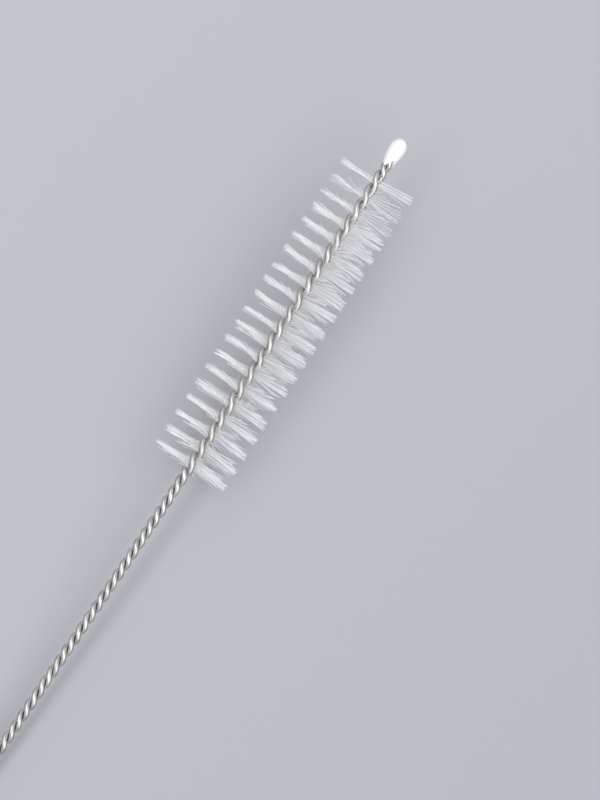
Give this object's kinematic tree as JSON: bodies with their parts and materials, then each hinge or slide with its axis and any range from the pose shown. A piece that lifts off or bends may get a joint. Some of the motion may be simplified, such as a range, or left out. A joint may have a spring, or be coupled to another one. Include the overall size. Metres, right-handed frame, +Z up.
{
  "type": "test tube brush",
  "caption": "Slim laboratory brush: twisted steel wire stem with a hanging eye, a round head of straight white filaments and a smooth white tip.",
  "frame": {"origin": "centre of the bounding box's bottom face, on the surface that the brush lies on", "axes": "+X runs along the brush from the hanging eye to the tip, +Y across it to the side where the tufts look separate, +Z up; the axis of the brush rises 4.3 degrees towards the tip"},
  "size_m": [0.2692, 0.0248, 0.0318],
  "materials": {
    "wire": "drawn bright wire",
    "filaments": "translucent white nylon",
    "tip": "smooth dipped plastic"
  },
  "bodies": {
    "root": {"twisted_wire": "wire", "tip_bulb": "tip", "bristle_tuft_01": "filaments", "bristle_tuft_02": "filaments", "bristle_tuft_03": "filaments", "bristle_tuft_04": "filaments", "bristle_tuft_05": "filaments", "bristle_tuft_06": "filaments", "bristle_tuft_07": "filaments", "bristle_tuft_08": "filaments", "bristle_tuft_09": "filaments", "bristle_tuft_10": "filaments", "bristle_tuft_11": "filaments", "bristle_tuft_12": "filaments", "bristle_tuft_13": "filaments", "bristle_tuft_14": "filaments", "bristle_tuft_15": "filaments", "bristle_tuft_16": "filaments", "bristle_tuft_17": "filaments", "bristle_tuft_18": "filaments", "bristle_tuft_19": "filaments", "bristle_tuft_20": "filaments"}
  },
  "joints": []
}
